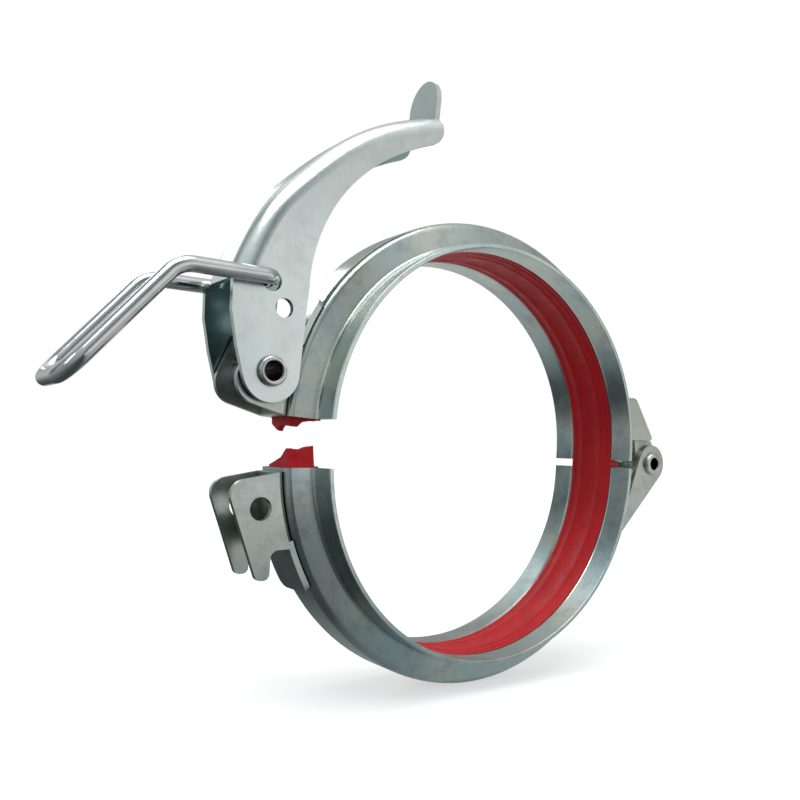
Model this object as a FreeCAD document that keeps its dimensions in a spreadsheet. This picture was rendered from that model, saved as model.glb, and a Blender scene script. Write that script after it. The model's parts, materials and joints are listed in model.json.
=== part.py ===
import FreeCAD, Part
import math
import os
import re

import Sketcher
from FreeCAD import Placement, Rotation, Vector

# Lever-lock coupling for a shouldered 6 inch pipe (168.3 mm outside diameter).
# The pipe axis is Y, the hinge is at +X, the latch at -X and Z is up. The origin is the bore centre
# of the lower half. The coupling stands a few degrees open, with its lever up and its bail unhooked.
# The pieces of the upper half are modelled with the coupling closed, then turned open on the hinge.

doc = FreeCAD.newDocument("grooved_coupling")
sheet = doc.addObject("Spreadsheet::Sheet", "dims")

DIMENSIONS = {
    "crest_radius": 100,         # outside of the shell's crest
    "neck_radius": 86,           # inside of the two necks, where the pipes pass
    "shell_sheet": 2,            # thickness of the pressed shells
    "crest_half": 11,            # half width of the crest, to the bend's sharp corner
    "shoulder_half": 13.4,       # half width over the shoulders where they meet the necks
    "rim_half": 25.7,            # half of the whole width, rim to rim
    "shell_bend": 1.5,           # inside radius of the shell's bends
    "rim_round": 0.4,            # deburred rim
    "lower_sweep": 178.5,        # degrees of ring in each half
    "upper_sweep": 180.5,
    "opening": 5.1,              # degrees that the coupling stands open
    "hinge_across": 121.5,       # hinge pin, from the bore centre
    "hinge_up": 0.8,
    "gasket_radius": 86.04,      # sealing lips of the rubber ring, pressed level with the necks
    "gasket_valley": 86.1,       # between the lips
    "gasket_outer": 97.6,
    "gasket_half": 8.8,          # half width at the crest
    "gasket_foot": 11,           # half width at the necks
    "gasket_lip": 6.3,           # where the lips stand, from the middle
    "bracket_gap": 0.2,          # brackets clear the crest by this much beside the welds
    "bracket_sheet": 2.4,
    "catch_half": 11,            # half width over the catch's ears
    "lever_ears_half": 11.5,     # half width over the lever bracket's ears
    "hinge_outer_half": 11.2,    # half width over the lower, outer hinge ears
    "hinge_panel_half": 11,      # half width over the upper hinge bracket beside its joggle
    "hinge_inner_half": 8.6,     # half width over the upper, inner hinge ears
    "ear_bend": 2.2,             # outside radius where the ears leave the base plate
    "tongue_corner": 4,
    "catch_hole": 4.6,           # radii of the holes
    "lock_hole": 3.85,
    "pivot_hole": 4.55,
    "bail_hole": 4.1,
    "bail_slack": 0.8,           # how far the bail's wire stands above the middle of its holes
    "hinge_hole": 3.55,
    "lever_half": 15,            # half width over the lever's walls at the pivot
    "lever_tip_half": 13.4,
    "lever_sheet": 2.5,
    "lever_bend": 7.5,           # outside radius along the lever's back
    "tab_half": 10.3,            # thumb tab
    "tab_rise": 18.2,
    "pivot_across": -110.4,      # lever pivot, coupling closed
    "pivot_up": 15.4,
    "bail_up": 35.5,             # bail pivot, from the lever pivot
    "bail_back": 0.6,
    "wire_radius": 3,            # bail
    "bail_half": 18.6,           # half width between the centres of the bail's legs
    "lever_bore": 3.65,          # lever pivot rivet
    "lever_shank": 4.5,
    "lever_head": 5.85,
    "hinge_bore": 3.0,           # hinge rivet
    "hinge_shank": 3.5,
    "hinge_head": 5.7,
    "rivet_lip": 2.2,            # how far the rolled heads stand out
    "rivet_play": 0.1,
    "spacer_wall": 1.9,
    "washer_radius": 9.5,
    "washer_sheet": 0.8,
}
for row, (alias, value) in enumerate(DIMENSIONS.items(), start=1):
    sheet.set(f"A{row}", alias)
    sheet.set(f"B{row}", str(value))
    sheet.setAlias(f"B{row}", alias)
doc.recompute()

FAR = 400                        # longer than anything that is cut


def bound(expression):
    """An expression of the sheet's names, as another object refers to them."""
    return re.sub(r"[a-z_]+", lambda m: "dims." + m[0] if m[0] in DIMENSIONS else m[0], str(expression))


def size(expression):
    """The value of such an expression in millimetres or degrees."""
    value = doc.dims.evalExpression(str(expression))
    return float(getattr(value, "Value", value))


def polar(radius, degrees):
    """A point (x, z) on a circle round the bore."""
    angle = math.radians(degrees)
    return (radius * math.cos(angle), radius * math.sin(angle))


def tangent_point(point, centre, radius, side):
    """Where the line from point touches a circle, on its left (side 1) or right (side -1)."""
    dx, dz = point[0] - centre[0], point[1] - centre[1]
    reach = math.hypot(dx, dz)
    angle = math.atan2(dz, dx) + side * math.acos(radius / reach)
    return (centre[0] + radius * math.cos(angle), centre[1] + radius * math.sin(angle))


# ---- sketches and features ---------------------------------------------------------------------

def new_body(label):
    body = doc.addObject("PartDesign::Body", label)
    body.Label = label
    return body


def new_sketch(body, name, role="XZ_Plane", offset=None):
    sketch = body.newObject("Sketcher::SketchObject", name)
    plane = next(f for f in body.Origin.OriginFeatures if f.Role == role)
    sketch.AttachmentSupport = [(plane, "")]
    sketch.MapMode = "FlatFace"
    if offset:
        sketch.AttachmentOffset = offset
    return sketch


def pin_down(sketch, kind, edge, end, value):
    """Holds one coordinate of a sketch point at a number or at an expression of the sheet."""
    index = sketch.addConstraint(Sketcher.Constraint(kind, -1, 1, edge, end, size(value)))
    if isinstance(value, str):
        sketch.setExpression(f"Constraints[{index}]", bound(value))


def draw_loop(sketch, corners, arcs=()):
    """A closed outline through corners, (x, y) each a number or an expression. arcs maps the index
    of the side that starts at a corner to (radius, centre, turns left)."""
    first = sketch.GeometryCount
    points = [Vector(size(x), size(y), 0) for x, y in corners]
    count = len(points)
    arcs = dict(arcs)
    starts = []
    for i, start in enumerate(points):
        end = points[(i + 1) % count]
        if i in arcs:
            radius, centre, leftward = arcs[i]
            middle = Vector(size(centre[0]), size(centre[1]), 0)
            a = math.atan2(start.y - middle.y, start.x - middle.x)
            b = math.atan2(end.y - middle.y, end.x - middle.x)
            circle = Part.Circle(middle, Vector(0, 0, 1), size(radius))
            low, high = (a, b) if leftward else (b, a)
            sketch.addGeometry(Part.ArcOfCircle(circle, low, high), False)
            starts.append((1, 2) if leftward else (2, 1))
        else:
            sketch.addGeometry(Part.LineSegment(start, end), False)
            starts.append((1, 2))
    for i in range(count):
        after = (i + 1) % count
        joint = (first + i, starts[i][1], first + after, starts[after][0])
        sketch.addConstraint(Sketcher.Constraint("Coincident", *joint))
    for i, (x, y) in enumerate(corners):
        pin_down(sketch, "DistanceX", first + i, starts[i][0], x)
        pin_down(sketch, "DistanceY", first + i, starts[i][0], y)
    for i, (radius, centre, leftward) in arcs.items():
        index = sketch.addConstraint(Sketcher.Constraint("Radius", first + i, size(radius)))
        if isinstance(radius, str):
            sketch.setExpression(f"Constraints[{index}]", bound(radius))


def draw_circle(sketch, centre, radius):
    edge = sketch.addGeometry(
        Part.Circle(Vector(size(centre[0]), size(centre[1]), 0), Vector(0, 0, 1), size(radius)), False
    )
    pin_down(sketch, "DistanceX", edge, 3, centre[0])
    pin_down(sketch, "DistanceY", edge, 3, centre[1])
    index = sketch.addConstraint(Sketcher.Constraint("Radius", edge, size(radius)))
    if isinstance(radius, str):
        sketch.setExpression(f"Constraints[{index}]", bound(radius))


def pad(body, name, sketch, length):
    """Extrudes both ways from the sketch's plane."""
    feature = body.newObject("PartDesign::Pad", name)
    feature.Profile = sketch
    feature.Midplane = True
    feature.Length = size(length)
    feature.setExpression("Length", bound(length))
    doc.recompute()
    return feature


def pocket(body, name, sketch, length):
    """Cuts both ways from the sketch's plane, and makes sure that it cut something."""
    before = body.Shape.Volume
    feature = body.newObject("PartDesign::Pocket", name)
    feature.Profile = sketch
    feature.Midplane = True
    feature.Length = size(length)
    feature.setExpression("Length", bound(length))
    doc.recompute()
    if not body.Shape.Volume < before - 0.01:
        raise RuntimeError(f"{body.Label}: {name} cut nothing")
    return feature


def revolve(body, name, sketch, angle):
    """Turns a section about the Y axis, half the angle each way."""
    feature = body.newObject("PartDesign::Revolution", name)
    feature.Profile = sketch
    feature.ReferenceAxis = (sketch, ["H_Axis"])
    feature.Midplane = True
    feature.Angle = size(angle)
    feature.setExpression("Angle", bound(angle))
    doc.recompute()
    return feature


def fillet(body, name, edges, radius):
    if not edges:
        raise RuntimeError(f"{body.Label}: {name} has no edges")
    feature = body.newObject("PartDesign::Fillet", name)
    feature.Base = (body.Tip if body.Tip != feature else feature.BaseFeature, edges)
    feature.Radius = size(radius)
    feature.setExpression("Radius", bound(radius))
    doc.recompute()
    return feature


def rings(body, corners):
    """Edges that run round the Y axis at (y, radius), for each corner, on both sides of the middle."""
    wanted = [(size(y) * side, size(r)) for y, r in corners for side in (1, -1)]
    names = []
    for i, edge in enumerate(body.Shape.Edges, start=1):
        curve = edge.Curve
        if not isinstance(curve, Part.Circle) or abs(abs(curve.Axis.y) - 1) > 1e-6:
            continue
        if any(math.hypot(curve.Center.y - y, curve.Radius - r) < 0.02 for y, r in wanted):
            names.append(f"Edge{i}")
    return names


def across(body, points):
    """Straight edges along Y that pass through the (x, z) points."""
    names = []
    for i, edge in enumerate(body.Shape.Edges, start=1):
        ends = [v.Point for v in edge.Vertexes]
        if len(ends) != 2 or abs(abs(ends[0].y - ends[1].y) - edge.Length) > 1e-3 or edge.Length < 0.5:
            continue
        if any(math.hypot(ends[0].x - x, ends[0].z - z) < 0.05 for x, z in points):
            names.append(f"Edge{i}")
    return names


# ---- where the halves stand --------------------------------------------------------------------

HINGE = Vector(size("hinge_across"), 0, size("hinge_up"))
OPENED = Placement(Vector(), Rotation(Vector(0, 1, 0), size("opening")), HINGE)
PIVOT = Vector(size("pivot_across"), 0, size("pivot_up"))
LEVER_AT = OPENED.multVec(PIVOT)
BAIL_AT = LEVER_AT + Vector(size("-bail_back"), 0, size("bail_up"))


# ---- pressed shells and the rubber ring --------------------------------------------------------

def shell_half(label, up, sweep):
    """One half of the housing: crest, sloping shoulders and two necks, in one pressed sheet."""
    body = new_body(label)
    sketch = new_sketch(body, "section_" + label, "YZ_Plane")
    slope = math.atan2(
        size("crest_radius - neck_radius - shell_sheet"), size("shoulder_half - crest_half")
    )
    side = round(size("shell_sheet") / math.sin(slope), 3)       # the sheet, measured along Y
    lean = round(1 / math.tan(slope), 4)                         # Y per millimetre of radius
    sign = "" if up else "-1 * "
    outer = [
        ("rim_half", "(neck_radius + shell_sheet)"),
        ("shoulder_half", "(neck_radius + shell_sheet)"),
        ("crest_half", "crest_radius"),
    ]
    inner = [
        (f"crest_half - {side} + shell_sheet * {lean}", "(crest_radius - shell_sheet)"),
        (f"shoulder_half - {side} + shell_sheet * {lean}", "neck_radius"),
        ("rim_half", "neck_radius"),
    ]
    left = [(f"-1 * ({y})", r) for y, r in reversed(outer)]
    left_inner = [(f"-1 * ({y})", r) for y, r in reversed(inner)]
    loop = outer + left + left_inner + inner
    draw_loop(sketch, [(y, sign + r) for y, r in loop])
    revolve(body, "sweep_" + label, sketch, sweep)
    convex = rings(body, [outer[2], inner[1]])
    fillet(body, "outside_bends", convex, "shell_bend + shell_sheet")
    concave = rings(body, [outer[1], inner[0]])
    fillet(body, "inside_bends", concave, "shell_bend")
    fillet(body, "rims", rings(body, [outer[0], inner[2]]), "rim_round")
    return body


def gasket_half(label, up, sweep):
    """Half of the rubber ring in the shells' channel, with two sealing lips towards the pipes."""
    body = new_body(label)
    sketch = new_sketch(body, "section_" + label, "YZ_Plane")
    sign = "" if up else "-1 * "
    side = [
        ("gasket_half", "gasket_outer"),
        ("gasket_foot", "(neck_radius + shell_sheet)"),
        ("gasket_lip", "gasket_radius"),
        ("gasket_lip / 2", "gasket_valley"),
    ]
    other = [(f"-1 * {y}", r) for y, r in reversed(side)]
    draw_loop(sketch, [(y, sign + r) for y, r in side + other])
    revolve(body, "sweep_" + label, sketch, sweep)
    fillet(body, "soft_lips", rings(body, [side[2]]), "rim_round * 2")
    return body


lower_shell = shell_half("lower_shell", False, "lower_sweep")
upper_shell = shell_half("upper_shell", True, "upper_sweep")
gasket_lower = gasket_half("gasket_lower", False, "lower_sweep")
gasket_upper = gasket_half("gasket_upper", True, "upper_sweep")
upper_shell.Placement = OPENED
gasket_upper.Placement = OPENED


# ---- U-shaped brackets -------------------------------------------------------------------------

SEAT = size("crest_radius + bracket_gap")
PLATE = size("crest_radius + bracket_gap + bracket_sheet")


def add_ears(body, outline, start, end, half, corners):
    """A solid block with the ears' side outline. It stands on the crest from angle start to end,
    and outline leads from the crest at end back to the crest at start."""
    sketch = new_sketch(body, "ears")
    loop = [polar(SEAT, start), polar(SEAT, end)] + outline
    draw_loop(sketch, loop, {0: (SEAT, (0, 0), True)})
    pad(body, "ear_block", sketch, f"2 * {half}")
    for i, (points, radius) in enumerate(corners):
        fillet(body, f"ear_corner_{i}", across(body, points), radius)
    fillet(body, "ear_bends", rings(body, [(half, SEAT)]), "ear_bend")


def add_tongue(body, start, end, half, free_end):
    """The base plate, on the crest from angle start to end, with rounded corners at its free end."""
    sketch = new_sketch(body, "tongue")
    loop = [polar(SEAT, start), polar(SEAT, end), polar(PLATE, end), polar(PLATE, start)]
    draw_loop(sketch, loop, {0: (SEAT, (0, 0), True), 2: (PLATE, (0, 0), False)})
    pad(body, "base_plate", sketch, f"2 * {half}")
    names = []
    for i, edge in enumerate(body.Shape.Edges, start=1):
        a, b = [v.Point for v in edge.Vertexes] if len(edge.Vertexes) == 2 else (Vector(), Vector())
        tip = polar(SEAT, free_end)
        near = any(math.hypot(end.x - tip[0], end.z - tip[1]) < 0.05 for end in (a, b))
        if near and abs(a.y - b.y) < 1e-4 and abs(edge.Length - size("bracket_sheet")) < 0.05:
            names.append(f"Edge{i}")
    fillet(body, "tongue_corners", names, "tongue_corner")


def clear_between(body, half):
    """Opens the space between the ears, down to the base plate."""
    sketch = new_sketch(body, "between_ears")
    draw_circle(sketch, (0, 0), PLATE)
    draw_circle(sketch, (0, 0), FAR)
    pocket(body, "space_between_ears", sketch, f"2 * ({half} - bracket_sheet)")


def drill(body, name, centre, radius):
    sketch = new_sketch(body, name + "_circle")
    draw_circle(sketch, centre, radius)
    pocket(body, name, sketch, FAR)


def make_catch():
    """Two hooks that the bail's crossbar pulls on, each with a hole for a safety pin."""
    body = new_body("catch_bracket")
    top, foot, tongue_end = 181.6, 199.4, 210.4
    corner = (-124.2, -6.9)
    finger = [(-111.1, -45.0), (-105.6, -45.0)]
    notch = (-105.1, -33.5)
    outline = [notch, finger[1], finger[0], corner]
    rounds = [([corner], 6.4), (finger, 2.6), ([notch], 3.4)]
    add_ears(body, outline, top, foot, "catch_half", rounds)
    add_tongue(body, foot - 2, tongue_end, "catch_half", tongue_end)
    clear_between(body, "catch_half")
    drill(body, "pin_hole", (-109.7, -17.1), "catch_hole")
    return body


def make_lever_bracket():
    """The bracket that carries the lever, its ears inside the lever's walls."""
    body = new_body("lever_bracket")
    tongue_end, foot, bottom = 151.5, 161.5, 180.3
    top_corner = (-115.6, 33.0)
    low_corner = (-126.0, 5.0)
    outline = [low_corner, top_corner]
    rounds = [([low_corner], 9), ([top_corner], 5)]
    add_ears(body, outline, foot, bottom, "lever_ears_half", rounds)
    add_tongue(body, tongue_end, foot + 2, "lever_ears_half", tongue_end)
    clear_between(body, "lever_ears_half")
    drill(body, "pivot_holes", ("pivot_across", "pivot_up"), "pivot_hole")
    body.Placement = OPENED
    return body


def make_lower_hinge():
    """Outer hinge ears, rounded about the pin."""
    body = new_body("hinge_bracket_lower")
    eye = (HINGE.x, HINGE.z)
    eye_radius = 10
    foot, shoulder = (98.6, -35.0), (103.6, -17.0)
    low, high = 338.8, 348.5
    outer = tangent_point(foot, eye, eye_radius, 1)
    inner = tangent_point(shoulder, eye, eye_radius, -1)
    sketch = new_sketch(body, "ears")
    loop = [polar(SEAT, low), polar(SEAT, high), shoulder, inner, outer, foot]
    arcs = {0: (SEAT, (0, 0), True), 3: (eye_radius, eye, False)}
    draw_loop(sketch, loop, arcs)
    pad(body, "ear_block", sketch, "2 * hinge_outer_half")
    fillet(body, "foot_corner", across(body, [foot]), 3)
    fillet(body, "ear_bends", rings(body, [("hinge_outer_half", SEAT)]), "ear_bend")
    plate = new_sketch(body, "plate")
    loop = [polar(SEAT, low), polar(SEAT, 358.2), polar(PLATE, 358.2), polar(PLATE, low)]
    draw_loop(plate, loop, {0: (SEAT, (0, 0), True), 2: (PLATE, (0, 0), False)})
    pad(body, "base_plate", plate, "2 * (hinge_outer_half - bracket_sheet)")
    clear_between(body, "hinge_outer_half")
    drill(body, "pin_holes", ("hinge_across", "hinge_up"), "hinge_hole")
    return body


def make_upper_hinge():
    """Inner hinge ears: they step inward at a joggle to fit between the outer ears."""
    body = new_body("hinge_bracket_upper")
    eye = (HINGE.x, HINGE.z)
    eye_radius = 9.4
    top, joggle_out, joggle_in = (105.3, 34.6), (121.9, 13.4), (108.6, 12.4)
    low, high = 6.5, 19.5
    rounds = [([top], 4), ([joggle_out], 1.5)]
    add_ears(body, [top, joggle_out, joggle_in], low, high, "hinge_panel_half", rounds)
    clear_between(body, "hinge_panel_half")
    root, crown = (107.5, 21.0), (117.0, 18.5)
    left = tangent_point(root, eye, eye_radius, 1)
    right = tangent_point(crown, eye, eye_radius, -1)
    sketch = new_sketch(body, "eyes")
    draw_loop(sketch, [root, left, right, crown], {1: (eye_radius, eye, True)})
    pad(body, "eye_block", sketch, "2 * hinge_inner_half")
    gap = new_sketch(body, "between_eyes")
    reach = 60
    box = [(PLATE + 0.4, -reach), (PLATE + reach, -reach), (PLATE + reach, reach), (PLATE + 0.4, reach)]
    draw_loop(gap, box)
    pocket(body, "space_between_eyes", gap, "2 * (hinge_inner_half - bracket_sheet)")
    plate = new_sketch(body, "plate")
    loop = [polar(SEAT, 0.6), polar(SEAT, high), polar(PLATE, high), polar(PLATE, 0.6)]
    draw_loop(plate, loop, {0: (SEAT, (0, 0), True), 2: (PLATE, (0, 0), False)})
    pad(body, "base_plate", plate, "2 * (hinge_inner_half - bracket_sheet + 0.6)")
    drill(body, "pin_holes", ("hinge_across", "hinge_up"), "hinge_hole")
    body.Placement = OPENED
    return body


catch_bracket = make_catch()
lever_bracket = make_lever_bracket()
hinge_bracket_lower = make_lower_hinge()
hinge_bracket_upper = make_upper_hinge()


# ---- rivets, spacers and washers ---------------------------------------------------------------

def hollow_rivet(label, bore, shank, head, grip):
    """A tubular rivet along Y with a rolled head at each end. grip is half of what it clamps."""
    body = new_body(label)
    sketch = new_sketch(body, "section", "YZ_Plane")
    under = f"({grip} + rivet_play)"
    top = f"({grip} + rivet_play + rivet_lip)"
    side = [(under, shank), (under, head), (top, head), (top, bore)]
    other = [(f"-1 * {y}", r) for y, r in reversed(side)]
    draw_loop(sketch, side + other)
    revolve(body, "turn", sketch, 360)
    fillet(body, "rolled_heads", rings(body, [side[2]]), 1.15)
    fillet(body, "rolled_mouths", rings(body, [side[3]]), 0.9)
    return body


def tube(label, inner, outer, low, high):
    """A sleeve about Y between low and high."""
    body = new_body(label)
    sketch = new_sketch(body, "section", "YZ_Plane")
    draw_loop(sketch, [(low, inner), (high, inner), (high, outer), (low, outer)])
    revolve(body, "turn", sketch, 360)
    return body


lever_rivet = hollow_rivet("lever_pivot_rivet", "lever_bore", "lever_shank", "lever_head", "lever_half")
lever_spacer = tube(
    "lever_pivot_spacer", "(lever_shank + 0.05)", "(lever_shank + spacer_wall)",
    "-1 * (lever_ears_half - bracket_sheet)", "(lever_ears_half - bracket_sheet)",
)
hinge_rivet = hollow_rivet("hinge_rivet", "hinge_bore", "hinge_shank", "hinge_head", "hinge_outer_half")
hinge_spacer = tube(
    "hinge_spacer", "(hinge_shank + 0.05)", "(hinge_shank + spacer_wall)",
    "-1 * (hinge_inner_half - bracket_sheet - 0.05)", "(hinge_inner_half - bracket_sheet - 0.05)",
)
hinge_rivet.Placement = Placement(HINGE, Rotation())
hinge_spacer.Placement = Placement(HINGE, Rotation())
lever_rivet.Placement = Placement(LEVER_AT, Rotation())
lever_spacer.Placement = Placement(LEVER_AT, Rotation())


def washer_pair():
    """Friction washers between the lever bracket's ears and the lever's walls."""
    inner, outer = size("lever_shank") + 0.05, size("washer_radius")
    start, thick = size("lever_ears_half") + 0.05, size("washer_sheet")
    discs = []
    for side in (1, -1):
        ring = Part.makeCylinder(outer, thick, Vector(0, side * start, 0), Vector(0, side, 0))
        hole = Part.makeCylinder(inner, thick, Vector(0, side * start, 0), Vector(0, side, 0))
        discs.append(ring.cut(hole))
    feature = doc.addObject("Part::Feature", "lever_pivot_washers")
    feature.Shape = Part.makeCompound(discs)
    feature.Placement = Placement(LEVER_AT, Rotation())
    return feature


lever_washers = washer_pair()


# ---- lever -------------------------------------------------------------------------------------
# Side outline in millimetres from the lever's pivot: a wide foot round the pivot, then a long curved
# arm that narrows towards the tip.

FOOT_RADIUS = 12
WEB_FOOT = (-16.5, 34.4)
BACK = [
    WEB_FOOT, (-10.2, 49.7), (-0.7, 66.2), (14.6, 82.2), (33.2, 97.8), (53.1, 109.3), (68.0, 115.0), (81.4, 119.0),
]
FRONT = [(15.6, 34.4), (16.6, 43.0), (22.2, 59.8), (31.3, 74.3), (50.1, 91.1), (76.0, 104.2)]
TIP = [(80.6, 107.8), (81.4, 112.5)]
HEEL = [(-16.7, 22.0), (-14.5, 8.7)]
LEVER_LENGTH = 119.0
NOSE_RADIUS = 5.2


def spline(points):
    curve = Part.BSplineCurve()
    curve.interpolate([Vector(x, z, 0) for x, z in points])
    return curve


def draw_arm(sketch):
    """The arm's side outline: up the back to the tip, round it and down the front."""
    tip_low, tip_high = [Vector(x, z, 0) for x, z in TIP]
    back_low, back_high = Vector(*BACK[0], 0), Vector(*BACK[-1], 0)
    front_low, front_high = Vector(*FRONT[0], 0), Vector(*FRONT[-1], 0)
    pieces = [
        spline(BACK),
        Part.LineSegment(back_high, tip_high),
        Part.Arc(tip_high, tip_low, front_high),
        spline(FRONT[::-1]),
        Part.LineSegment(front_low, back_low),
    ]
    for piece in pieces:
        sketch.addGeometry(piece, False)


def inset(points, depth):
    """The points of a spline moved to its right-hand side."""
    curve = spline(points)
    moved = []
    for x, z in points:
        where = curve.parameter(Vector(x, z, 0))
        way = curve.tangent(where)[0]
        moved.append((x + way.y * depth, z - way.x * depth))
    return moved


def taper(body, name, grow):
    """Cuts both sides so that the lever narrows from its web's foot to its tip."""
    low, high = WEB_FOOT[1], LEVER_LENGTH
    wide = f"(lever_half - {grow})"
    narrow = f"(lever_tip_half - {grow})"
    sketch = new_sketch(body, name + "_sides", "YZ_Plane")
    for sign in ("", "-1 * "):
        corners = [
            (wide, low), (narrow, high + 30), ("(lever_half + 5)", high + 30), ("(lever_half + 5)", low),
        ]
        draw_loop(sketch, [(sign + y, z) for y, z in corners])
    pocket(body, name, sketch, FAR)


def back_edges(body, points):
    """The long edges of the back, found by a point a little way along."""
    curve = spline(points)
    middle = curve.value((curve.FirstParameter + curve.LastParameter) / 2)
    names = []
    for i, edge in enumerate(body.Shape.Edges, start=1):
        if edge.Length < 60:
            continue
        probe = Part.makeLine(Vector(middle.x, -20, middle.y), Vector(middle.x, 20, middle.y))
        if edge.distToShape(probe)[0] < 0.05:
            names.append(f"Edge{i}")
    return names


def make_lever():
    body = new_body("lever")
    side = new_sketch(body, "side")
    draw_arm(side)
    pad(body, "block", side, "2 * lever_half")
    taper(body, "taper", 0)
    fillet(body, "back_bends", back_edges(body, BACK), "lever_bend")

    hollow = new_body("lever_hollow")
    sheet_depth = size("lever_sheet")
    inside = new_sketch(hollow, "inside")
    back = inset(BACK, sheet_depth)
    beyond = 60
    start, end = back[0], back[-1]
    corners = [end, (end[0] + beyond, end[1]), (end[0] + beyond, start[1]), start]
    loop = [Part.LineSegment(Vector(*a, 0), Vector(*b, 0)) for a, b in zip(corners, corners[1:])]
    inside.addGeometry(spline(back), False)
    for piece in loop:
        inside.addGeometry(piece, False)
    pad(hollow, "block", inside, "2 * (lever_half - lever_sheet)")
    taper(hollow, "taper", "lever_sheet")
    fillet(hollow, "back_bends", back_edges(hollow, back), "lever_bend - lever_sheet")
    cut = body.newObject("PartDesign::Boolean", "hollow_out")
    cut.Type = "Cut"
    cut.setObjects([hollow])
    doc.recompute()

    cheeks = new_sketch(body, "cheeks")
    low_left = tangent_point(HEEL[1], (0, 0), FOOT_RADIUS, 1)
    loop = [WEB_FOOT, FRONT[0], (FOOT_RADIUS, 0), low_left, HEEL[1], HEEL[0]]
    draw_loop(cheeks, loop, {2: (FOOT_RADIUS, (0, 0), False)})
    pad(body, "cheek_block", cheeks, "2 * lever_half")
    between = new_sketch(body, "between_cheeks")
    top = WEB_FOOT[1]
    draw_loop(between, [(-beyond, -beyond), (beyond, -beyond), (beyond, top), (-beyond, top)])
    pocket(body, "space_between_cheeks", between, "2 * (lever_half - lever_sheet)")

    nose = new_sketch(body, "nose")
    middle = (BACK[-1][0] - NOSE_RADIUS, BACK[-1][1] - NOSE_RADIUS - 0.8)
    end, crown = (BACK[-1][0], middle[1]), (middle[0], middle[1] + NOSE_RADIUS)
    corners = [end, crown, (crown[0], FAR), (FAR, FAR), (FAR, end[1])]
    draw_loop(nose, corners, {0: (NOSE_RADIUS, middle, True)})
    pocket(body, "round_nose", nose, FAR)

    tilt = Rotation(Vector(1, 0, 0), 6)
    root = Vector(0, LEVER_LENGTH - 2, BACK[-1][0] - 1.2)
    tab = new_sketch(body, "tab", "YZ_Plane", Placement(root, tilt))
    rise = size("tab_rise") + 2
    half = size("tab_half")
    shoulder = 9
    ellipse = Part.Ellipse(Vector(0, rise, 0), Vector(half, shoulder, 0), Vector(0, shoulder, 0))
    tab.addGeometry(Part.ArcOfEllipse(ellipse, -math.pi / 2, math.pi / 2), False)
    tab.addGeometry(Part.LineSegment(Vector(-half, shoulder, 0), Vector(-half, 0, 0)), False)
    tab.addGeometry(Part.LineSegment(Vector(-half, 0, 0), Vector(half, 0, 0)), False)
    tab.addGeometry(Part.LineSegment(Vector(half, 0, 0), Vector(half, shoulder, 0)), False)
    pad(body, "thumb_tab", tab, "lever_sheet")

    drill(body, "pivot_holes", (0, 0), "pivot_hole")
    drill(body, "bail_holes", ("-1 * bail_back", "(bail_up - bail_slack)"), "bail_hole")
    drill(body, "lock_holes", (4.8, 24.8), "lock_hole")
    body.Placement = Placement(LEVER_AT, Rotation())
    return body


lever = make_lever()


# ---- bail --------------------------------------------------------------------------------------

def bent_wire(points, bends, radius):
    """A round wire along straight runs joined by tangent arcs."""
    edges = []
    last = points[0]
    for before, corner, after, bend in zip(points, points[1:], points[2:], bends):
        one = (before - corner).normalize()
        two = (after - corner).normalize()
        half = one.getAngle(two) / 2
        reach = bend / math.tan(half)
        start, end = corner + one * reach, corner + two * reach
        inward = (one + two).normalize()
        middle = corner + inward * (bend / math.sin(half) - bend)
        edges.append(Part.makeLine(last, start))
        edges.append(Part.Arc(start, middle, end).toShape())
        last = end
    edges.append(Part.makeLine(last, points[-1]))
    path = Part.Wire(edges)
    section = Part.Wire(Part.Circle(points[0], points[1] - points[0], radius).toShape())
    return path, path.makePipeShell([section], True, False)


def make_bail():
    half = size("bail_half")
    end = size("lever_half - lever_sheet") - 2.7
    elbow = Vector(-37.8, 0, 0.4)
    bar = Vector(-75.9, 0, -41.4)
    leg = Vector(0, half, 0)
    points = [
        Vector(0, -end, 0), -leg, elbow - leg, bar - leg,
        bar + leg, elbow + leg, leg, Vector(0, end, 0),
    ]
    path, shape = bent_wire(points, [4.5, 12, 10, 10, 12, 4.5], size("wire_radius"))
    expected = path.Length * math.pi * size("wire_radius") ** 2
    if abs(shape.Volume / expected - 1) > 0.01:
        raise RuntimeError("bail: the wire's volume is wrong")
    feature = doc.addObject("Part::Feature", "bail")
    feature.Shape = shape
    feature.Placement = Placement(BAIL_AT, Rotation())
    return feature


bail = make_bail()


# ---- check and write ---------------------------------------------------------------------------

PIECES = [
    lower_shell, upper_shell, gasket_lower, gasket_upper,
    catch_bracket, lever_bracket, hinge_bracket_lower, hinge_bracket_upper,
    lever_rivet, lever_spacer, lever_washers, hinge_rivet, hinge_spacer,
    lever, bail,
]
doc.recompute()
for item in doc.Objects:
    if "Invalid" in item.State or "Error" in item.State:
        raise RuntimeError(f"{item.Name} failed: {item.State}")
for piece in PIECES:
    if piece.Shape.isNull() or not piece.Shape.isValid() or piece.Shape.Volume <= 0:
        raise RuntimeError(f"{piece.Label} has no valid solid")
    print(piece.Label, "solids", len(piece.Shape.Solids), "volume", round(piece.Shape.Volume))
os.makedirs("parts", exist_ok=True)
for piece in PIECES:
    piece.Shape.exportStep(f"parts/{piece.Label}.step")
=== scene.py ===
import json
import math

import bpy
import bmesh
from mathutils import Matrix, Vector


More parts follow.
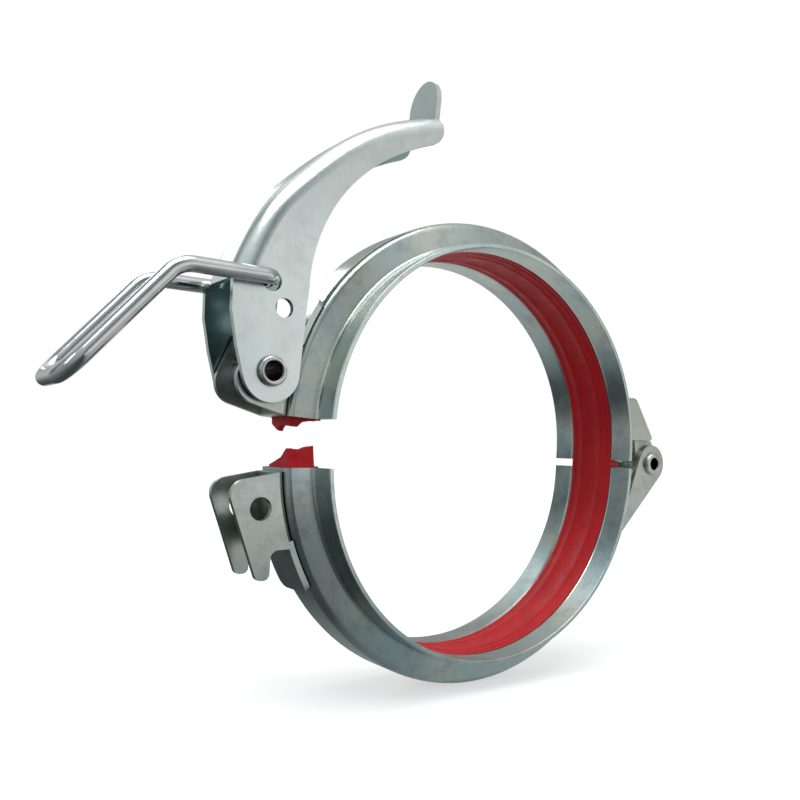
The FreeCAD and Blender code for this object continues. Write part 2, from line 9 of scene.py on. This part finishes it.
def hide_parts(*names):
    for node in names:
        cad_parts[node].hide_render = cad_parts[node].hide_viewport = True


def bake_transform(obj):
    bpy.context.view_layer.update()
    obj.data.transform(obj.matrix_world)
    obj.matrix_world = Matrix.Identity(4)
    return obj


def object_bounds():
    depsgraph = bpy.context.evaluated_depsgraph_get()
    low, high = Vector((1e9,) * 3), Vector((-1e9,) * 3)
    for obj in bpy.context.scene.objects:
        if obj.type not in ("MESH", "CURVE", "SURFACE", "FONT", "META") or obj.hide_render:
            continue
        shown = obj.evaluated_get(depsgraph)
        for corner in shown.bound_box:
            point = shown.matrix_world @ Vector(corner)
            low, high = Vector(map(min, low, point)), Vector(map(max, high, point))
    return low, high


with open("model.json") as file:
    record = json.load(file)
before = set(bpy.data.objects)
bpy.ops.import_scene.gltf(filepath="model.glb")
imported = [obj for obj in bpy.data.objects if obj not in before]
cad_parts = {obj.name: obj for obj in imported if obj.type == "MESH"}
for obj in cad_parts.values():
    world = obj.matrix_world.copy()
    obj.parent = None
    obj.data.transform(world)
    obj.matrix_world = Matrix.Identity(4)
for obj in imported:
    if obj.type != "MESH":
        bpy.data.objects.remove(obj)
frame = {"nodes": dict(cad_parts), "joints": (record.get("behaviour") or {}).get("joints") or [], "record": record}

scene = bpy.context.scene
cad_low, cad_high = [Vector(corner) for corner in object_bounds()]
MM = 0.001


# ---- camera ------------------------------------------------------------------------------------

# Seen nearly along the pipe's axis, a little from the left and level.
CAMERA_PLACE = (-0.24843, -0.30425, 0.00926)
CAMERA_RIGHT = Vector((0.8216, -0.5698, 0.0197))
CAMERA_UP = Vector((-0.0185, 0.0079, 0.9998))          # squared with CAMERA_RIGHT below

camera = bpy.data.objects.new("camera", bpy.data.cameras.new("camera"))
scene.collection.objects.link(camera)
back = CAMERA_RIGHT.cross(CAMERA_UP).normalized()
turned = Matrix((CAMERA_RIGHT, back.cross(CAMERA_RIGHT), back)).transposed()
camera.matrix_world = Matrix.Translation(CAMERA_PLACE) @ turned.to_4x4()
camera.data.lens = 37.34
camera.data.sensor_width = 36
camera.data.shift_y = 0.05
camera.data.clip_start = 0.01
camera.data.clip_end = 100
scene.camera = camera
scene.view_settings.view_transform = "Standard"


# ---- node helpers ------------------------------------------------------------------------------

class Nodes:
    """Builds a material's nodes from the shader backwards."""

    def __init__(self, name):
        self.material = bpy.data.materials.new(name)
        self.material.use_nodes = True
        self.tree = self.material.node_tree
        self.shader = self.tree.nodes["Principled BSDF"]
        self.where = self.add("ShaderNodeTexCoord").outputs["Object"]

    def add(self, kind, **settings):
        node = self.tree.nodes.new(kind)
        for key, value in settings.items():
            setattr(node, key, value)
        return node

    def link(self, source, target):
        self.tree.links.new(source, target)

    def noise(self, scale, detail=2.0, roughness=0.5, stretch=None):
        """A noise value in object space, stretched along an axis where stretch is given."""
        node = self.add("ShaderNodeTexNoise")
        node.inputs["Scale"].default_value = scale
        node.inputs["Detail"].default_value = detail
        node.inputs["Roughness"].default_value = roughness
        if stretch:
            mapping = self.add("ShaderNodeMapping")
            mapping.inputs["Scale"].default_value = stretch
            self.link(self.where, mapping.inputs["Vector"])
            self.link(mapping.outputs["Vector"], node.inputs["Vector"])
        else:
            self.link(self.where, node.inputs["Vector"])
        return node.outputs["Fac"]

    def ramp(self, value, stops):
        """Maps a value through colour stops of (position, colour or grey)."""
        node = self.add("ShaderNodeValToRGB")
        elements = node.color_ramp.elements
        while len(elements) < len(stops):
            elements.new(0.5)
        for element, (position, colour) in zip(elements, stops):
            element.position = position
            grey = isinstance(colour, (int, float))
            element.color = (colour, colour, colour, 1) if grey else (*colour, 1)
        self.link(value, node.inputs["Fac"])
        return node.outputs["Color"]

    def scaled(self, value, factor):
        node = self.add("ShaderNodeMath", operation="MULTIPLY")
        self.link(value, node.inputs[0])
        node.inputs[1].default_value = factor
        return node.outputs[0]

    def mix(self, factor, one, two, blend="MIX"):
        """Mixes two colours. Each argument is a socket, a number or a colour."""
        node = self.add("ShaderNodeMix", data_type="RGBA", blend_type=blend)
        for socket, value in ((node.inputs[0], factor), (node.inputs[6], one), (node.inputs[7], two)):
            if isinstance(value, bpy.types.NodeSocket):
                self.link(value, socket)
            elif isinstance(value, (int, float)):
                socket.default_value = value
            else:
                socket.default_value = (*value, 1)
        return node.outputs[2]

    def bump(self, height, strength, distance, before=None):
        """A bump on top of the normal that comes before it, if any."""
        node = self.add("ShaderNodeBump")
        node.inputs["Strength"].default_value = strength
        node.inputs["Distance"].default_value = distance
        self.link(height, node.inputs["Height"])
        if before:
            self.link(before, node.inputs["Normal"])
        return node.outputs["Normal"]


RAMP_REACH = 10 * MM              # the length that fills a colour ramp from 0 to 1


def zinc(name, cool, warm, dull, bright, grain=1.0, rough=(0.20, 0.36), shade=None):
    """Zinc plate: cool metal with warm clouds, streaks, rubs, stains, and painted shade darkening its crevices.
    dull is the grey of the stains, bright the colour of the rubs, grain the depth of the relief, and
    shade a function that changes the colour in places."""
    n = Nodes(name)
    n.shader.inputs["Metallic"].default_value = 1.0
    clouds = n.noise(28, 3, 0.6)
    tint = n.mix(n.ramp(clouds, [(0.38, 0), (0.66, 1)]), cool, warm)
    grime = n.ramp(n.noise(90, 6, 0.7), [(0.30, dull), (0.52, 1.0)])
    tint = n.mix(1.0, tint, grime, "MULTIPLY")
    rubs = n.ramp(n.noise(55, 8, 0.75, (1.0, 3.0, 1.0)), [(0.64, 0), (0.72, 1)])
    tint = n.mix(rubs, tint, bright)
    # Painted shade: ambient occlusion darkens the colour in crevices and between parts.
    occlusion_shade = n.add("ShaderNodeAmbientOcclusion", samples=6)
    occlusion_shade.inputs["Distance"].default_value = 5 * MM
    tint = n.mix(n.ramp(occlusion_shade.outputs["AO"], [(0.25, 0.75), (0.80, 0)]), tint, (0.16, 0.18, 0.16))
    if shade:
        tint = shade(n, tint)
    n.link(tint, n.shader.inputs["Base Color"])
    spread = n.ramp(n.noise(70, 5, 0.6), [(0.3, rough[0]), (0.7, rough[1])])
    n.link(spread, n.shader.inputs["Roughness"])
    waves = n.bump(n.noise(24, 1, 0.4), 0.25 * grain, 0.0012)
    scratches = n.ramp(n.noise(60, 4, 0.8, (1.0, 1.0, 22.0)), [(0.60, 0), (0.68, 1)])
    scored = n.bump(scratches, 0.12 * grain, 0.0001, waves)
    fine = n.bump(n.noise(1500, 2, 0.6), 0.10 * grain, 0.0001, scored)
    n.link(fine, n.shader.inputs["Normal"])
    return n.material


def painted_channel_shade(n, tint):
    """Painted shade: a darker, bluer colour on the inner faces of the lever's channel."""
    where, facing = n.add("ShaderNodeSeparateXYZ"), n.add("ShaderNodeSeparateXYZ")
    n.link(n.where, where.inputs[0])
    n.link(n.tree.nodes["Texture Coordinate"].outputs["Normal"], facing.inputs[0])
    across = n.add("ShaderNodeMath", operation="MULTIPLY")
    n.link(where.outputs["Y"], across.inputs[0])
    n.link(facing.outputs["Y"], across.inputs[1])
    inward = n.ramp(n.scaled(across.outputs[0], -1 / RAMP_REACH), [(0.55, 0), (0.75, 1)])
    return n.mix(inward, tint, (0.27, 0.38, 0.39))


def dark_bore(place, radius, colour):
    """Old grease and shadow in a rivet's bore, by the distance from its axis."""
    def shade(n, tint):
        where = n.add("ShaderNodeSeparateXYZ")
        n.link(n.where, where.inputs[0])
        flat = n.add("ShaderNodeCombineXYZ")
        n.link(where.outputs["X"], flat.inputs["X"])
        n.link(where.outputs["Z"], flat.inputs["Z"])
        gap = n.add("ShaderNodeVectorMath", operation="DISTANCE")
        n.link(flat.outputs[0], gap.inputs[0])
        gap.inputs[1].default_value = (place.x, 0, place.z)
        near = n.ramp(n.scaled(gap.outputs["Value"], 1 / RAMP_REACH), [
            ((radius + 0.15 * MM) / RAMP_REACH, 1), ((radius + 0.7 * MM) / RAMP_REACH, 0)])
        return n.mix(near, tint, colour)
    return shade


def chrome(name):
    n = Nodes(name)
    n.shader.inputs["Metallic"].default_value = 1.0
    tint = n.mix(n.ramp(n.noise(120, 4, 0.6), [(0.35, 0), (0.65, 1)]), (0.54, 0.55, 0.57), (0.64, 0.64, 0.63))
    n.link(tint, n.shader.inputs["Base Color"])
    n.link(n.ramp(n.noise(200, 5, 0.7), [(0.35, 0.07), (0.75, 0.20)]), n.shader.inputs["Roughness"])
    n.link(n.bump(n.noise(300, 2, 0.5), 0.08, 0.0003), n.shader.inputs["Normal"])
    return n.material


def red_rubber(name):
    """Matt red rubber with mould marks round the ring, uneven colour and a little pale dust."""
    n = Nodes(name)
    n.shader.inputs["Specular IOR Level"].default_value = 0.30
    clouds = n.ramp(n.noise(45, 4, 0.6), [(0.32, 0), (0.68, 1)])
    tint = n.mix(clouds, (0.50, 0.004, 0.010), (0.62, 0.012, 0.018))
    tint = n.mix(n.ramp(n.noise(180, 5, 0.7), [(0.30, 0.35), (0.46, 0)]), tint, (0.36, 0.003, 0.007))
    dust = n.ramp(n.noise(420, 6, 0.75), [(0.60, 0), (0.76, 0.30)])
    n.link(n.mix(dust, tint, (0.66, 0.14, 0.14)), n.shader.inputs["Base Color"])
    n.link(n.ramp(n.noise(150, 5, 0.6), [(0.3, 0.36), (0.7, 0.58)]), n.shader.inputs["Roughness"])
    marks = n.bump(n.noise(260, 3, 0.6, (0.25, 3.0, 0.25)), 0.18, 0.0003)
    n.link(n.bump(n.noise(1100, 3, 0.6), 0.16, 0.0002, marks), n.shader.inputs["Normal"])
    return n.material


JOINTS = {joint["name"]: Vector(joint["pos_m"]) for joint in frame["joints"]}
SHELL = zinc(
    "zinc_shell", (0.47, 0.57, 0.59), (0.60, 0.62, 0.56), 0.74, (0.72, 0.75, 0.75),
    grain=0.8, rough=(0.15, 0.27))
BRACKET = zinc("zinc_bracket", (0.49, 0.54, 0.53), (0.57, 0.59, 0.53), 0.72, (0.72, 0.74, 0.72), grain=0.8)
# The lever's channel gets painted shade on its inner faces.
LEVER = zinc(
    "zinc_lever", (0.645, 0.70, 0.69), (0.69, 0.72, 0.70), 0.88, (0.80, 0.82, 0.82),
    grain=0.4, rough=(0.20, 0.30), shade=painted_channel_shade)
STEEL = ((0.56, 0.59, 0.61), (0.64, 0.64, 0.62), 0.55, (0.78, 0.78, 0.78), 0.6, (0.16, 0.32))
LEVER_BORE, HINGE_BORE = 3.65 * MM, 3.0 * MM          # radii of the two hollow rivets' bores
LEVER_RIVET = zinc("rivet_steel", *STEEL, dark_bore(JOINTS["lever_pivot"], LEVER_BORE, (0.10, 0.08, 0.075)))
HINGE_RIVET = zinc("hinge_rivet_steel", *STEEL, dark_bore(JOINTS["hinge"], HINGE_BORE, (0.05, 0.10, 0.14)))
CHROME = chrome("bright_wire")
RUBBER = red_rubber("red_rubber")
FINISHES = {
    "zinc_shell": SHELL, "zinc_bracket": BRACKET, "zinc_lever": LEVER,
    "rivet_steel": LEVER_RIVET, "bright_wire": CHROME, "red_rubber": RUBBER,
}
for part in frame["record"]["subparts"]:
    node = frame["nodes"][part["node"]]
    for holder in node.material_slots:
        holder.material = HINGE_RIVET if part["node"] == "hinge_rivet" else FINISHES[part["material_slot"]]


# ---- rubber ring -------------------------------------------------------------------------------

hinge = next(j for j in frame["joints"] if j["name"] == "hinge")
pin = Vector(hinge["pos_m"])
opening = math.radians(-hinge["range_deg"][0])

# Half of the ring's section, (across, radius) in millimetres from the middle of the ring.
INNER = [
    (0, 86.1), (2.4, 86.0), (4.2, 85.7), (5.6, 85.2), (6.3, 85.1), (7.0, 85.4), (8.0, 85.75), (9.9, 85.85),
    (10.3, 86.3), (10.8, 86.3), (11.2, 85.95), (13.1, 86.05),
]
OUTER = [
    (0, 97.4), (8.2, 97.4), (8.9, 97.0), (10.2, 92.0), (11.0, 88.2), (11.7, 87.2), (12.5, 86.55),
    (13.2, 86.15),
]
MIDDLE_RADIUS = 92                # millimetres, where the section shrinks towards in the flaps
LOWER_CUT = -math.pi + 0.012      # angle at which the lower half's rubber is cut
UPPER_GAP = 0.4                   # millimetres by which the upper half's rubber passes straight
TURN_REACH = 5 * MM               # height each side of the hinge's level over which the rubber turns
AROUND = 260                      # steps round the ring
BEND_SHARE = 0.0045               # share of the way round, each side of the hinge, with finer steps
BEND_STEPS = 24
LEAST_STEP = 0.0005               # plain rows stay this share away from the finer ones
ACROSS = 72                       # steps across each side of the section
CAP_ROWS = 5                      # steps across the cut ends
FLAP_ROWS = 6                     # steps round the ring that the ragged ends stretch

# How far the torn ends stand out of the shells in millimetres: along the crest by the distance
# across, and down the near side by the radius.
LOWER_CREST = [(-8.9, 4.8), (-8.5, 7.4), (-6.2, 7.6), (-2.0, 4.0), (8.9, 0.6)]
LOWER_NEAR = [(87.2, 0.3), (87.6, 8.7), (92.0, 7.4), (97.0, 4.6)]
UPPER_CREST = [(-8.9, 3.0), (1.4, 3.5), (1.9, 5.7), (7.6, 3.0), (8.9, 1.2)]
UPPER_NEAR = [(86.0, 0.1), (93.6, 1.9), (93.9, 3.8), (97.0, 3.6)]


def along(value, stops):
    """Straight-line interpolation through (position, height) stops, level beyond them."""
    if value <= stops[0][0]:
        return stops[0][1]
    for (a, low), (b, high) in zip(stops, stops[1:]):
        if value <= b:
            return low + (high - low) * (value - a) / (b - a)
    return stops[-1][1]


def even(half, count):
    """The mirrored half section as count + 1 evenly spaced points, from -across to +across."""
    points = [Vector((-y, r)) for y, r in reversed(half)] + [Vector(p) for p in half[1:]]
    reach = [0.0]
    for one, two in zip(points, points[1:]):
        reach.append(reach[-1] + (two - one).length)
    result = []
    for k in range(count + 1):
        want = reach[-1] * k / count
        y = along(want, [(d, p.x) for d, p in zip(reach, points)])
        r = along(want, [(d, p.y) for d, p in zip(reach, points)])
        result.append((y, r))
    return result


def ring_point(y, radius, angle):
    """A point of the closed ring in metres. angle is zero at the hinge and grows over the top."""
    return Vector((radius * math.cos(angle), y, radius * math.sin(angle))) * MM


def opened(point, share=1.0):
    """The same point where the coupling stands open, for a share of the hinge's turn."""
    return pin + Matrix.Rotation(opening * share, 3, "Y") @ (point - pin)


def turn_share(point):
    """How much of the hinge's turn the rubber makes there."""
    t = min(max((point.z + TURN_REACH) / (2 * TURN_REACH), 0), 1)
    return t * t * (3 - 2 * t)


def torn(y, radius, upper):
    """How far the end of the rubber stands out of the shell, in millimetres."""
    crest, near = (UPPER_CREST, UPPER_NEAR) if upper else (LOWER_CREST, LOWER_NEAR)
    wave = 0.16 * math.sin(2.9 * y + 0.8 * radius) + 0.12 * math.sin(5.1 * y - 1.7 * radius)
    base = 0.4 + 0.5 * wave
    wall = along(radius, [(93.5, 0.0), (95.0, 1.0)]) * along(y, crest)
    side = along(y, [(-6.2, 1.0), (-4.6, 0.0)]) * along(radius, near)
    return max(base, wall + wave * 0.6, side + wave * 0.3)


def ring_vertex(bm, y, radius, share):
    """A vertex of the ring at a share of the way round it, from the lower end to the upper one."""
    upper = share > 0.5
    straight = math.pi * (2 * share - 1)
    height = torn(y, radius, upper)
    end = math.pi + (UPPER_GAP + height) / radius if upper else LOWER_CUT - height / radius
    pull = min(min(share, 1 - share) * AROUND / FLAP_ROWS, 1)
    angle = end + (straight - end) * pull
    out = (angle - math.pi) * radius if upper else (LOWER_CUT - angle) * radius
    slim = 1 - 0.03 * min(max(out - 0.5, 0), 1)                # flaps fit inside the other end when closed
    y, radius = y * slim, MIDDLE_RADIUS + (radius - MIDDLE_RADIUS) * slim
    point = ring_point(y, radius, angle)
    turn = 0.0 if share < 0.25 else 1.0 if share > 0.75 else turn_share(point)
    return bm.verts.new(opened(point, turn))


def ring_shares():
    """The shares of the way round at which the ring has a row, closer together at the hinge."""
    plain = [i / AROUND for i in range(AROUND + 1)]
    fine = [0.5 + BEND_SHARE * (2 * i / BEND_STEPS - 1) for i in range(BEND_STEPS + 1)]
    before = [s for s in plain if s < fine[0] - LEAST_STEP]
    return before + fine + [s for s in plain if s > fine[-1] + LEAST_STEP]


def make_ring():
    """One mesh for the whole ring: a tube of rows, closed by a cap of quads at each torn end."""
    mesh = bpy.data.meshes.new("rubber_ring")
    bm = bmesh.new()
    inner, outer = even(INNER, ACROSS), even(OUTER, ACROSS)
    loop = inner + outer[::-1]
    rows = [[ring_vertex(bm, y, r, share) for y, r in loop] for share in ring_shares()]
    count = len(loop)
    for one, two in zip(rows, rows[1:]):
        for k in range(count):
            face = bm.faces.new((one[k], one[(k + 1) % count], two[(k + 1) % count], two[k]))
            face.smooth = True
    for share, rim in ((0, rows[0]), (1, rows[-1])):
        inner_rim, outer_rim = rim[:ACROSS + 1], rim[ACROSS + 1:][::-1]
        lines = [inner_rim[1:-1]]
        for c in range(1, CAP_ROWS):
            t = c / CAP_ROWS
            middle = [(a + (b - a) * t, p + (q - p) * t) for (a, p), (b, q) in zip(inner, outer)]
            lines.append([ring_vertex(bm, y, r, share) for y, r in middle[1:-1]])
        lines.append(outer_rim[1:-1])
        for one, two in zip(lines, lines[1:]):
            for k in range(len(one) - 1):
                bm.faces.new((one[k], one[k + 1], two[k + 1], two[k]))
        for k in (0, -1):
            bm.faces.new([inner_rim[k]] + [line[k] for line in lines] + [outer_rim[k]])
        for one, two in zip(rim, rim[1:] + rim[:1]):
            bm.edges.get((one, two)).smooth = False
    bmesh.ops.recalc_face_normals(bm, faces=bm.faces)
    bm.to_mesh(mesh)
    bm.free()
    mesh.materials.append(RUBBER)
    ring = bpy.data.objects.new("rubber_ring", mesh)
    scene.collection.objects.link(ring)
    return ring


rubber_ring = make_ring()
# The turn is short, and tilted a little, so that each torn end stays with its own half.
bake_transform(rubber_ring)
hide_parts("gasket_lower", "gasket_upper")


# ---- floor and light ---------------------------------------------------------------------------

# To the camera the floor and the room are white. Every other ray, so the metal's reflections too,
# meets these greys instead: the floor from left to right, and the room round about and upwards.
FLOOR_LEFT, FLOOR_RIGHT = -0.60, 0.30
FLOOR_ACROSS = [
    (0.0, (0.36, 0.39, 0.39)), (0.34, (0.15, 0.17, 0.17)), (0.44, (0.065, 0.08, 0.085)),
    (0.56, (0.065, 0.08, 0.085)), (0.66, (0.38, 0.42, 0.42)), (0.85, (0.58, 0.60, 0.58)),
]
WORLD_AROUND = [
    (0.20, (0.48, 0.53, 0.54)), (0.35, (0.13, 0.17, 0.18)), (0.49, (0.50, 0.54, 0.54)),
    (0.57, (0.76, 0.77, 0.76)), (0.66, (0.52, 0.54, 0.53)), (0.76, (0.40, 0.42, 0.41)),
    (0.92, (0.38, 0.39, 0.38)),
]
WORLD_HEIGHT = [(0.0, (0.76, 0.78, 0.78)), (0.5, (1.1, 1.1, 1.1)), (1.0, (1.7, 1.7, 1.7))]
FLOOR_RADIUS = 30
FLOOR_DROP = 0.5 * MM             # gap between the coupling and the floor


def pale_floor():
    """The floor: pale to the camera, graded to every other ray, with a dark patch on the left."""
    mesh = bpy.data.meshes.new("floor")
    bm = bmesh.new()
    bmesh.ops.create_circle(bm, cap_ends=True, radius=FLOOR_RADIUS, segments=96)
    bm.to_mesh(mesh)
    bm.free()
    n = Nodes("floor")
    n.link(n.ramp(n.noise(3, 2, 0.5), [(0.3, 0.50), (0.7, 0.54)]), n.shader.inputs["Base Color"])
    n.shader.inputs["Roughness"].default_value = 0.8
    n.shader.inputs["Emission Color"].default_value = (1, 1, 1, 1)
    n.shader.inputs["Emission Strength"].default_value = 0.56
    split = n.add("ShaderNodeSeparateXYZ")
    n.link(n.where, split.inputs[0])
    across = n.add("ShaderNodeMapRange")
    n.link(split.outputs["X"], across.inputs["Value"])
    across.inputs["From Min"].default_value = FLOOR_LEFT
    across.inputs["From Max"].default_value = FLOOR_RIGHT
    table = n.add("ShaderNodeEmission")
    n.link(n.ramp(across.outputs[0], FLOOR_ACROSS), table.inputs["Color"])
    either = n.add("ShaderNodeMixShader")
    n.link(n.add("ShaderNodeLightPath").outputs["Is Camera Ray"], either.inputs["Fac"])
    n.link(table.outputs[0], either.inputs[1])
    n.link(n.shader.outputs[0], either.inputs[2])
    n.link(either.outputs[0], n.tree.nodes["Material Output"].inputs["Surface"])
    mesh.materials.append(n.material)
    floor = bpy.data.objects.new("floor", mesh)
    scene.collection.objects.link(floor)
    floor.location.z = cad_low.z - FLOOR_DROP


def area_light(name, place, aim, size, power, colour=(1, 1, 1)):
    """A rectangular lamp at a place, turned to face another."""
    light = bpy.data.lights.new(name, "AREA")
    light.shape = "RECTANGLE"
    light.size, light.size_y = size
    light.energy = power
    light.color = colour
    holder = bpy.data.objects.new(name, light)
    scene.collection.objects.link(holder)
    holder.location = place
    holder.rotation_euler = (Vector(aim) - Vector(place)).to_track_quat("-Z", "Y").to_euler()


def studio_world():
    """The room: white to the camera, graded to every other ray, with a dark corner on the left."""
    world = bpy.data.worlds.new("studio")
    world.use_nodes = True
    scene.world = world
    tree = world.node_tree
    tree.nodes.clear()

    def add(kind, **settings):
        node = tree.nodes.new(kind)
        for key, value in settings.items():
            setattr(node, key, value)
        return node

    def ramp(value, stops):
        node = add("ShaderNodeValToRGB")
        while len(node.color_ramp.elements) < len(stops):
            node.color_ramp.elements.new(0.5)
        for element, (position, colour) in zip(node.color_ramp.elements, stops):
            element.position = position
            element.color = (*colour, 1)
        tree.links.new(value, node.inputs["Fac"])
        return node.outputs["Color"]

    split = add("ShaderNodeSeparateXYZ")
    tree.links.new(add("ShaderNodeTexCoord").outputs["Generated"], split.inputs[0])
    forward = add("ShaderNodeMath", operation="MULTIPLY_ADD")          # 0.5 + 0.2 y
    tree.links.new(split.outputs["Y"], forward.inputs[0])
    forward.inputs[1].default_value = 0.2
    forward.inputs[2].default_value = 0.5
    around = add("ShaderNodeMath", operation="MULTIPLY_ADD")           # 0.5 + 0.45 x + 0.2 y
    tree.links.new(split.outputs["X"], around.inputs[0])
    around.inputs[1].default_value = 0.45
    tree.links.new(forward.outputs[0], around.inputs[2])
    sideways = ramp(around.outputs[0], WORLD_AROUND)
    height = ramp(split.outputs["Z"], WORLD_HEIGHT)
    both = add("ShaderNodeMix", data_type="RGBA", blend_type="MULTIPLY")
    both.inputs[0].default_value = 1.0
    tree.links.new(sideways, both.inputs[6])
    tree.links.new(height, both.inputs[7])

    room, plain, either = add("ShaderNodeBackground"), add("ShaderNodeBackground"), add("ShaderNodeMixShader")
    tree.links.new(both.outputs[2], room.inputs["Color"])
    plain.inputs["Color"].default_value = (1, 1, 1, 1)
    tree.links.new(add("ShaderNodeLightPath").outputs["Is Camera Ray"], either.inputs["Fac"])
    tree.links.new(room.outputs[0], either.inputs[1])
    tree.links.new(plain.outputs[0], either.inputs[2])
    tree.links.new(either.outputs[0], add("ShaderNodeOutputWorld").inputs["Surface"])


pale_floor()
studio_world()
area_light("front_light", (0.35, -0.75, 0.10), (0, 0, 0), (0.9, 0.5), 0.55)
area_light("back_light", (-0.02, 1.25, 0.72), (-0.1, 0, 0.1), (0.5, 0.20), 1.3)
area_light("left_light", (-1.2, -0.1, 0.5), (-0.1, 0, 0.05), (0.3, 0.6), 1.5, (0.96, 0.99, 1.0))
sun = bpy.data.objects.new("sun", bpy.data.lights.new("sun", "SUN"))
scene.collection.objects.link(sun)
sun.data.energy = 1.6
sun.data.angle = math.radians(50)
sun.rotation_euler = (math.radians(12), math.radians(-8), 0)
